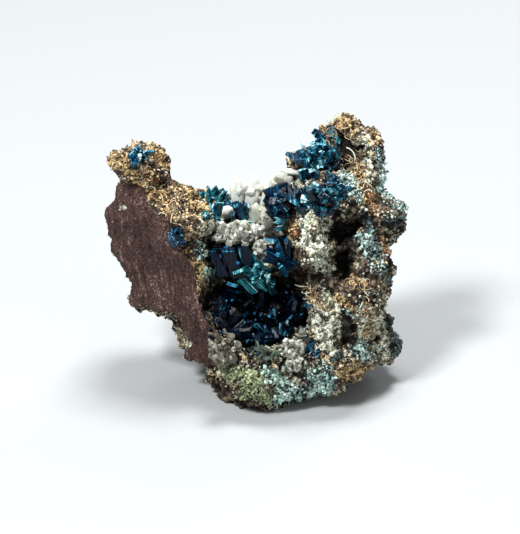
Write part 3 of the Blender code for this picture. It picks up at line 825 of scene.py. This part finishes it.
def blade(draw):
    """A unit blade with rounded edges and uneven sides, as a milky crystal has."""
    bm = bmesh.new()
    bmesh.ops.create_icosphere(bm, subdivisions=3, radius=1.0)
    offset = Vector([draw.uniform(-50, 50) for _ in range(3)])
    for vert in bm.verts:
        square = [math.copysign(abs(side) ** 0.8, side) for side in vert.co]
        uneven = 1 + 0.22 * noise.noise(1.7 * vert.co + offset)
        taper = 1 - 0.35 * max(square[2], 0) ** 2
        vert.co = (
            0.5 * square[0] * uneven * taper,
            0.42 * square[1] * uneven,
            0.55 * square[2] * uneven + 0.4,
        )
    for face in bm.faces:
        face.smooth = True
    return shape_of(bm, "blade")


def strand(draw):
    """A thin unit fibre that curls over."""
    bm = bmesh.new()
    bmesh.ops.create_cone(
        bm, cap_ends=True, segments=4, radius1=0.035, radius2=0.035, depth=0.15
    )
    head = max(bm.faces, key=lambda face: face.calc_center_median().z)
    turn = Matrix.Rotation(draw.uniform(0.25, 0.6), 3, "X")
    step = Vector((0, 0, 0.15))
    for _ in range(5):
        head = bmesh.ops.extrude_discrete_faces(bm, faces=[head])["faces"][0]
        middle = head.calc_center_median()
        step = turn @ step
        bmesh.ops.rotate(bm, verts=head.verts, cent=middle, matrix=turn)
        bmesh.ops.translate(bm, verts=head.verts, vec=step)
    return shape_of(bm, "strand")


def lump(draw, subdivisions, squash):
    """A rounded unit lump, uneven all over."""
    bm = bmesh.new()
    bmesh.ops.create_icosphere(bm, subdivisions=subdivisions, radius=0.5)
    offset = Vector([draw.uniform(-50, 50) for _ in range(3)])
    for vert in bm.verts:
        vert.co *= 1 + 0.35 * noise.noise(3 * vert.co + offset)
        vert.co.z *= squash
    for face in bm.faces:
        face.smooth = True
    return shape_of(bm, "lump")


def crumb_shape(draw):
    """An angular unit grain with flat faces."""
    bm = bmesh.new()
    made = bmesh.ops.create_icosphere(bm, subdivisions=1, radius=0.5)["verts"]
    for vert in made:
        vert.co *= draw.uniform(0.72, 1.2)
    return shape_of(bm, "crumb")


def facing(origin, direction, look, size):
    """A matrix that stands a unit shape on its origin, its Y side turned to the look."""
    along = direction.normalized()
    side = look.cross(along).normalized()
    front = along.cross(side)
    turn = Matrix((side, front, along)).transposed().to_4x4()
    return Matrix.Translation(origin) @ turn @ Matrix.Diagonal((*[MM * part for part in size], 1.0))


def fleck(point):
    """A value between 0 and 1 that belongs to this point alone."""
    return math.sin(point.x * 12.9898 + point.y * 78.233 + point.z * 37.719) * 43758.5453 % 1.0


def merged_solid(node):
    """A copy of a node's loose triangles, joined up."""
    bm = bmesh.new()
    bm.from_mesh(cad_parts[node].data)
    bmesh.ops.remove_doubles(bm, verts=bm.verts, dist=JOINED)
    return bm


def fracture_weight(seen, normals):
    """1 on the flat broken face, 0 off it."""
    looks = np.array(FRACTURE_LOOKS) / np.linalg.norm(FRACTURE_LOOKS)
    off = np.abs((seen - FRACTURE_SPOT) @ looks)
    flat = np.clip((normals @ np.array(way(FRACTURE_LOOKS)) - 0.8) / 0.12, 0, 1)
    right, low = FRACTURE_CORNER
    return np.clip(1.6 - off / 0.2, 0, 1) * flat * (seen[:, 2] > low) * (seen[:, 0] < right)


def zone_weights(seen, normals):
    """Weights of the zones of colour, the bare stone, the side in view and the fibres."""
    viewer = np.array(way((0, -1, 0)))
    front = np.clip(0.6 + 1.2 * (normals @ viewer), 0, 1) * np.clip((7 - seen[:, 1]) / 4, 0, 1)
    zones = {name: strip_weight(seen, strips) * front for name, strips in ZONES.items()}
    covered = sum(weight for name, weight in zones.items() if name != "dark")
    zones["plain"] = np.clip(1 - 0.8 * covered, 0, 1)
    zones["away"] = 1 - front
    zones["front"] = front * zones["plain"]
    zones["fibre"] = strip_weight(seen, FIBRES) * front
    return zones


def rock_relief(seen, fracture, resting, grainy):
    """How far each vertex moves out, the fine part of it, pits, and two sizes of grain."""
    rows = []
    for point, scar, rest, soft in zip(seen, fracture, resting, grainy):
        where = Vector(point)
        swell = noise.fractal(where / SWELL, 1.0, 2.1, 3)
        ridge = noise.ridged_multi_fractal(where / RIDGE, 0.9, 2.2, 4, 1.0, 2.0)
        (lump_off, *_), _ = noise.voronoi(where / LUMP + Vector((swell, 0, swell)))
        (cell, *_), cell_points = noise.voronoi(where / GRAIN)
        (small, *_), small_points = noise.voronoi(where / CRUMB)
        fine = 0.38 * (0.5 - cell) + 0.22 * (0.5 - small) + 0.1 * (1 - soft) * (ridge - 1.2)
        pit = min(max(lump_off + 0.25 * swell - 0.58, 0.0) / 0.2, 1.0)
        broad = 0.24 * swell + 0.4 * (0.5 - lump_off) * (1 - 0.5 * soft) - 0.3 * pit * (1 - soft)
        scratch = 0.04 * noise.fractal(where / SCRATCH, 0.9, 2.1, 3)
        move = ((broad + fine) * (1 - scar) + scratch * scar) * (1 - rest)
        pit *= (1 - 0.7 * soft) * (1 - scar)
        grains = fleck(cell_points[0]), fleck(small_points[0])
        rows.append((move, fine * (1 - scar), pit, *grains))
    return np.array(rows).T


def rock_mesh(sizes):
    """The matrix in fine relief, from a merged copy of its solid."""
    mesh = remeshed(shape_of(merged_solid("matrix_rock"), "matrix"), sizes.rock_voxel)
    seen = seen_positions(mesh)
    normals = vectors(mesh, "normal")
    zones = zone_weights(seen, normals)
    scar = np.clip(2 * zones.pop("scar") - 0.6, 0, 1)
    fracture = np.maximum(fracture_weight(seen, normals), scar)
    resting = np.clip(1 - positions(mesh)[:, 2] / RELIEF_FROM, 0, 1)
    grainy = np.clip(sum(zones[name] for name in GRAINY), 0, 1)
    move, fine, pits, grains, crumbs = rock_relief(seen, fracture, resting, grainy)
    moved = positions(mesh) + normals * (move * sizes.relief * MM)[:, None]
    mesh.vertices.foreach_set("co", moved.astype(np.float32).ravel())
    mesh.update()
    hollow = hollowness(mesh, sizes.hollow_reach)
    # The dark zone's painted shade is kept to the hollows.
    zones["dark"] *= np.clip(2.6 * hollow + 0.25, 0, 1)
    layers = {
        **zones,
        "fracture": fracture,
        "grain": grains,
        "crumb": crumbs,
        # Crevice: high in crevices and pits, painted as shade on the stone.
        "crevice": np.clip(0.5 - fine / 0.2 + 0.45 * pits, 0, 1),
        # Ridge: high on raised grains and low in pits, painted as light and shade on the stone.
        "ridge": np.clip(0.5 - pits + fine / 0.4, 0, 1),
        "hollow": hollow,
    }
    for name, values in layers.items():
        store(mesh, name, values)
    mesh.shade_smooth()
    return mesh


def hollowness(mesh, reach):
    """How closed in each vertex is: 0 in the open, towards 1 at the bottom of a hole, by which the
    finishes paint shade.
    """
    tree = tree_of(mesh)
    draw = random.Random(7)
    rays = [Vector([draw.gauss(0, 1) for _ in range(3)]).normalized() for _ in range(HOLLOW_RAYS)]
    closed = np.zeros(len(mesh.vertices))
    for index, vert in enumerate(mesh.vertices):
        start = vert.co + vert.normal * (0.06 * MM)
        total = 0.0
        for ray in rays:
            out = (vert.normal * 1.05 + ray).normalized()
            distance = tree.ray_cast(start, out, reach)[3]
            total += 1 - 0.6 * distance / reach if distance else 0.0
        closed[index] = total / len(rays)
    return closed


class Ground:
    """The finished rock as a place to set things on."""

    def __init__(self, mesh):
        self.mesh = mesh
        self.tree = tree_of(mesh)
        self.hollow = values_of(mesh, "hollow")

    def under(self, across, up, core=None):
        """What the viewer sees of the rock or a core on it: its point and normal, or None."""
        hits = []
        for tree in filter(None, (self.tree, core)):
            point, normal, _, distance = tree.ray_cast(spot(across, RAY_START, up), way((0, 1, 0)))
            if point:
                hits.append((distance, point, normal))
        return min(hits, key=lambda hit: hit[0])[1:] if hits else None


def core_of(node):
    """The solid of a node as a mesh of whole facets."""
    bm = merged_solid(node)
    bmesh.ops.dissolve_limit(bm, angle_limit=math.radians(2), verts=bm.verts, edges=bm.edges)
    return shape_of(bm, "core")


class SpecimenSizes(bpy.types.PropertyGroup):
    """Sizes of the dressed specimen."""

    rock_voxel: FloatProperty(
        name="Rock fineness",
        description="Size of the small squares of the rock's surface",
        default=0.158 * MM,
        min=0.0,
        unit="LENGTH",
        precision=6,
    )
    relief: FloatProperty(
        name="Relief",
        description="How strong the rock's lumps and grains are, 1 as photographed",
        default=1.0,
        min=0.0,
        max=2.0,
        subtype="FACTOR",
    )
    # The walls' darkening is painted shade.
    hollow_reach: FloatProperty(
        name="Hollow reach",
        description="How far walls darken a hollow",
        default=2.6 * MM,
        min=0.0,
        unit="LENGTH",
        precision=6,
    )
    camera_distance: FloatProperty(
        name="Camera distance",
        description="From the camera to the stone's middle",
        default=0.4,
        min=0.0,
        unit="LENGTH",
    )
    view_height: FloatProperty(
        name="View height",
        description="Height of what the picture takes in",
        default=44.5 * MM,
        min=0.0,
        unit="LENGTH",
        precision=5,
    )


class SpecimenColours(bpy.types.PropertyGroup):
    """Colours of the specimen and its stage."""

    stone: FloatVectorProperty(
        name="Stone",
        description="The palest grains of the bare stone",
        default=(0.8, 0.84, 0.74),
        subtype="COLOR",
        min=0.0,
        max=1.0,
    )
    fracture: FloatVectorProperty(
        name="Fracture",
        description="The main colour of the broken face",
        default=(0.1, 0.055, 0.044),
        subtype="COLOR",
        min=0.0,
        max=1.0,
    )
    crystal: FloatVectorProperty(
        name="Crystal",
        description="Blue crystals where some light gets in",
        default=(0.008, 0.1, 0.19),
        subtype="COLOR",
        min=0.0,
        max=1.0,
    )
    milk: FloatVectorProperty(
        name="Milky crystal",
        description="The palest milky crystals",
        default=(0.66, 0.67, 0.6),
        subtype="COLOR",
        min=0.0,
        max=1.0,
    )
    floor: FloatVectorProperty(
        name="Floor",
        description="The plain floor",
        default=(0.4, 0.415, 0.42),
        subtype="COLOR",
        min=0.0,
        max=1.0,
    )
    sky: FloatVectorProperty(
        name="Sky",
        description="The soft light from all around",
        default=(0.9, 0.95, 1.0),
        subtype="COLOR",
        min=0.0,
        max=1.0,
    )


def finish_of(name):
    """The material of that name, made once."""
    found = bpy.data.materials.get(name)
    if found:
        return found
    colours = bpy.context.scene.specimen_colours
    if name == "gossan_stone":
        return gossan_finish(colours)
    if name == "milky_glass":
        return hemimorphite_finish(colours)
    if name in GLASS_SHINE:
        return veszelyite_finish(name, GLASS_SHINE[name], colours)
    kind = name.removesuffix("_grain")
    return grain_finish(kind, *GRAIN_FINISHES[kind])


def ground():
    """The dressed rock, made by its operator before anything is set on it."""
    rock = bpy.data.objects.get("gossan_matrix")
    if rock is None:
        raise RuntimeError("make the rock before what stands on it")
    return Ground(rock.data)


def unsteady(draw):
    """A random vector within a cube about the origin."""
    return Vector([draw.uniform(-1, 1) for _ in range(3)])


def set_cluster(heap, base, node, choose, spec, tones):
    """Takes a node's solid as the core and stands crystals on it and on the rock around it."""
    core = core_of(node)
    tree = tree_of(core)
    heap.add(core, Matrix.Identity(4), sum(tones) / 2)
    (across, up), (wide, tall), count, (short, long), lean, stray = spec
    draw = heap.draw
    common = unsteady(draw)
    placed = 0
    for _ in range(TRIES * count):
        if placed == count:
            break
        turn = draw.uniform(0, math.tau)
        out = math.sqrt(draw.random())
        seen = (across + wide * out * math.cos(turn), up + tall * out * math.sin(turn))
        found = base.under(*seen, tree)
        if not found:
            continue
        point, normal = found
        direction = (0.5 * normal + way(lean) + stray * unsteady(draw)).normalized()
        length = short + (long - short) * draw.random() ** 1.5 * (1.15 - 0.4 * out)
        width = length * draw.uniform(0.55, 1.0)
        box = (width, width * draw.uniform(0.4, 0.9), length)
        shape, swell = choose(draw)
        look = common + 0.8 * unsteady(draw)
        place = facing(point, direction, look, [side * swell for side in box])
        glint = GLINT if draw.random() < GLINT_SHARE else 0.0
        heap.add(shape, place, draw.uniform(*tones) + glint)
        placed += 1


class SPECIMEN_OT_rock(bpy.types.Operator):
    """Makes the gossan matrix in fine relief"""

    bl_idname = "specimen.rock"
    bl_label = "Gossan matrix"

    def execute(self, context):
        mesh = rock_mesh(context.scene.specimen_sizes)
        rock = mesh_object("gossan_matrix", mesh, finish_of("gossan_stone"))
        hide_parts("matrix_rock")
        return {"FINISHED"}


class SPECIMEN_OT_veszelyite(bpy.types.Operator):
    """Stands the dark blue crystals in their clusters"""

    bl_idname = "specimen.veszelyite"
    bl_label = "Veszelyite clusters"

    def execute(self, context):
        base = ground()
        for name, (*spec, tones, seed) in VESZELYITE.items():
            heap = Heap(seed)
            shapes = [crystal(heap.draw, plates, name == "block") for plates in (1, 2, 3, 4, 2)]
            node = f"veszelyite_{name}"
            set_cluster(heap, base, node, lambda draw: (draw.choice(shapes), 1.0), spec, tones)
            for root, points, looks, (length, wide, thick), plates, tone in LARGE.get(name, ()):
                shape = crystal(heap.draw, plates, name == "block")
                place = facing(spot(*root), way(points), way(looks), (wide, thick, length))
                heap.add(shape, place, tone)
            glass = finish_of("deep_glass" if name == "block" else "blue_glass")
            made = heap.finish(f"{name}_blue_crystals", glass, "veszelyite")
            store(made.data, "teal", [TEAL.get(name, 0.0)] * len(made.data.vertices))
            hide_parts(node)
        return {"FINISHED"}


class SPECIMEN_OT_vug(bpy.types.Operator):
    """Lines the vug with dark crystals"""

    bl_idname = "specimen.vug"
    bl_label = "Vug crust"

    def execute(self, context):
        heap = Heap(VUG_SEED)
        base = ground()
        bed = core_of("vug_crystal_crust")
        heap.add(bed, Matrix.Identity(4), VUG_BED_TONE)
        tree = tree_of(bed)
        shapes = {
            "large": [crystal(heap.draw, plates, plates < 3) for plates in (1, 2, 3, 2, 4)],
            "small": [crystal(heap.draw, 1, False) for _ in range(4)],
        }
        for number in range(VUG_TRIES):
            seen = (heap.draw.uniform(*VUG_ACROSS), heap.draw.uniform(*VUG_UP))
            found = base.under(*seen, tree)
            kind = "large" if number < VUG_LARGE else "small"
            reach = 0.6 if kind == "large" else heap.draw.uniform(0.6, 1.1)
            offset = [(at - to) / half for at, to, half in zip(seen, VUG_MIDDLE, VUG_REACH)]
            if not found or offset[0] ** 2 + offset[1] ** 2 > reach:
                continue
            point, normal = found
            direction = normal + 0.6 * way((0, -1, 0.3)) + 0.6 * unsteady(heap.draw)
            length = heap.draw.uniform(*VUG_LENGTHS[kind])
            glint = GLINT if heap.draw.random() < VUG_GLINT_SHARE else 0.0
            width = length * heap.draw.uniform(0.4, 0.8)
            box = (width, width * heap.draw.uniform(0.5, 1.0), length)
            place = facing(point, direction, unsteady(heap.draw), box)
            shape = heap.draw.choice(shapes[kind])
            heap.add(shape, place, heap.draw.uniform(*VUG_TONES[kind]) + glint)
        made = heap.finish("vug_blue_crystals", finish_of("deep_glass"), "veszelyite")
        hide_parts("vug_crystal_crust")
        return {"FINISHED"}


class SPECIMEN_OT_hemimorphite(bpy.types.Operator):
    """Stands the milky crystals in their clusters"""

    bl_idname = "specimen.hemimorphite"
    bl_label = "Hemimorphite clusters"

    def execute(self, context):
        base = ground()
        for name, (*spec, tones, lumps, seed) in HEMIMORPHITE.items():
            heap = Heap(seed)
            if name in LARGE_MILKY:
                blades = [blade(heap.draw) for _ in range(5)]
            else:
                blades = [crystal(heap.draw, 1, False) for _ in range(5)]
            rounded = [lump(heap.draw, 2, 0.8) for _ in range(4)]

            def choose(draw):
                if draw.random() < lumps:
                    return draw.choice(rounded), LUMP_SWELL
                return draw.choice(blades), BLADE_SWELL

            node = f"hemimorphite_{name}"
            set_cluster(heap, base, node, choose, spec, tones)
            for root, points, looks, (length, wide, thick), tone in LARGE_MILKY.get(name, ()):
                place = facing(spot(*root), way(points), way(looks), (wide, thick, length))
                heap.add(blade(heap.draw), place, tone)
            made = heap.finish(f"{name}_milky_crystals", finish_of("milky_glass"), "hemimorphite")
            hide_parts(node)
        return {"FINISHED"}


def strewn_shapes(form, draw):
    """The few unit shapes that one kind of strewn piece repeats."""
    if form == "crumb":
        return [crumb_shape(draw) for _ in range(6)]
    if form == "bead":
        return [lump(draw, 1, 0.9) for _ in range(4)]
    if form == "strand":
        return [strand(draw) for _ in range(5)]
    return [crystal(draw, 1, False) for _ in range(4)]


class SPECIMEN_OT_strewn(bpy.types.Operator):
    """Strews small crystals and grains over the stone"""

    bl_idname = "specimen.strewn"
    bl_label = "Strewn grains"

    def execute(self, context):
        base = ground()
        mesh = base.mesh
        light = np.clip(1.1 - 2 * values_of(mesh, "dark"), 0, 1)
        bare = (positions(mesh)[:, 2] > GRAINS_FROM) * (values_of(mesh, "fracture") < 0.2) * light
        for name, (zone, count, (small, large), form, finish, seed) in STREWN.items():
            heap = Heap(seed)
            draw = heap.draw
            weight = np.clip(values_of(mesh, zone) * 1.4 - 0.4, 0, 1) if zone else 1
            chances = np.cumsum(weight * bare)
            shapes = strewn_shapes(form, draw)
            for _ in range(count):
                index = int(np.searchsorted(chances, draw.uniform(0, chances[-1])))
                vert = mesh.vertices[min(index, len(chances) - 1)]
                direction = vert.normal + 0.8 * unsteady(draw)
                size = small + (large - small) * draw.random() ** 2
                box = [size * draw.uniform(0.7, 1.3) for _ in range(3)]
                if form == "blade":
                    box = (box[0], box[1] * 0.6, box[2] * 1.5)
                place = facing(vert.co, direction, unsteady(draw), box)
                # Each grain takes the hollow of the rock under it, which paints shade on it.
                heap.add(draw.choice(shapes), place, draw.random(), float(base.hollow[vert.index]))
            slot = "veszelyite" if finish == "teal" else "gossan"
            heap.finish(name, finish_of(f"{finish}_grain"), slot)
        return {"FINISHED"}


class SPECIMEN_OT_stage(bpy.types.Operator):
    """Sets up the floor, the lights and the camera"""

    bl_idname = "specimen.stage"
    bl_label = "Stage"

    def execute(self, context):
        scene = context.scene
        self.add_floor(scene.specimen_colours.floor)
        middle = spot(*VIEW_MIDDLE)
        self.add_lamps(middle)
        self.add_sky(scene)
        scene.camera = self.camera(middle, scene.specimen_sizes)
        scene.view_settings.view_transform = "Standard"
        scene.view_settings.look = "Medium High Contrast"
        return {"FINISHED"}

    def add_floor(self, colour):
        """A plain floor under the stone."""
        bm = bmesh.new()
        bmesh.ops.create_grid(bm, x_segments=1, y_segments=1, size=2.0)
        floor = linked("floor", shape_of(bm, "floor"))
        finish = Finish("pale_floor", Base_Color=(*colour, 1.0), Roughness=0.9)
        floor.data.materials.append(finish.material)

    def add_lamps(self, middle):
        """Square lamps that shine at the middle of the view."""
        for name, where, side, power in LIGHTS:
            light = bpy.data.lights.new(name, "AREA")
            light.shape = "SQUARE"
            light.size = side
            light.energy = power
            lamp = linked(name, light)
            lamp.location = middle + Vector(where)
            lamp.rotation_euler = (-Vector(where)).to_track_quat("-Z", "Y").to_euler()

    def add_sky(self, scene):
        """An even light from all around."""
        scene.world = bpy.data.worlds.new("studio")
        scene.world.use_nodes = True
        light = scene.world.node_tree.nodes["Background"].inputs
        light["Color"].default_value = (*scene.specimen_colours.sky, 1.0)
        light["Strength"].default_value = SKY_STRENGTH

    def camera(self, middle, sizes):
        """A camera that looks at the middle of the view along the viewer's depth."""
        lens = bpy.data.cameras.new("camera")
        lens.sensor_fit = "VERTICAL"
        lens.lens = lens.sensor_height * sizes.camera_distance / sizes.view_height
        lens.clip_start = 0.01
        camera = linked("camera", lens)
        look = way((0, 1, 0))
        camera.location = middle - look * sizes.camera_distance
        camera.rotation_euler = look.to_track_quat("-Z", "Y").to_euler()
        return camera


class SPECIMEN_PT_panel(bpy.types.Panel):
    """Lists the specimen's sizes, colours and pieces"""

    bl_idname = "SPECIMEN_PT_panel"
    bl_label = "Veszelyite specimen"
    bl_space_type = "VIEW_3D"
    bl_region_type = "UI"
    bl_category = "Specimen"

    def draw(self, context):
        for group in (context.scene.specimen_sizes, context.scene.specimen_colours):
            for name in group.__annotations__:
                self.layout.prop(group, name)
        for piece in OPERATORS:
            self.layout.operator(piece.bl_idname)


OPERATORS = (
    SPECIMEN_OT_rock,
    SPECIMEN_OT_veszelyite,
    SPECIMEN_OT_vug,
    SPECIMEN_OT_hemimorphite,
    SPECIMEN_OT_strewn,
    SPECIMEN_OT_stage,
)
CLASSES = (SpecimenSizes, SpecimenColours, *OPERATORS, SPECIMEN_PT_panel)


def register():
    for one in CLASSES:
        bpy.utils.register_class(one)
    bpy.types.Scene.specimen_sizes = PointerProperty(type=SpecimenSizes)
    bpy.types.Scene.specimen_colours = PointerProperty(type=SpecimenColours)


def unregister():
    del bpy.types.Scene.specimen_colours
    del bpy.types.Scene.specimen_sizes
    for one in reversed(CLASSES):
        bpy.utils.unregister_class(one)


def main():
    register()
    bpy.ops.specimen.rock()
    bpy.ops.specimen.veszelyite()
    bpy.ops.specimen.vug()
    bpy.ops.specimen.hemimorphite()
    bpy.ops.specimen.strewn()
    bpy.ops.specimen.stage()


if __name__ == "__main__":
    main()
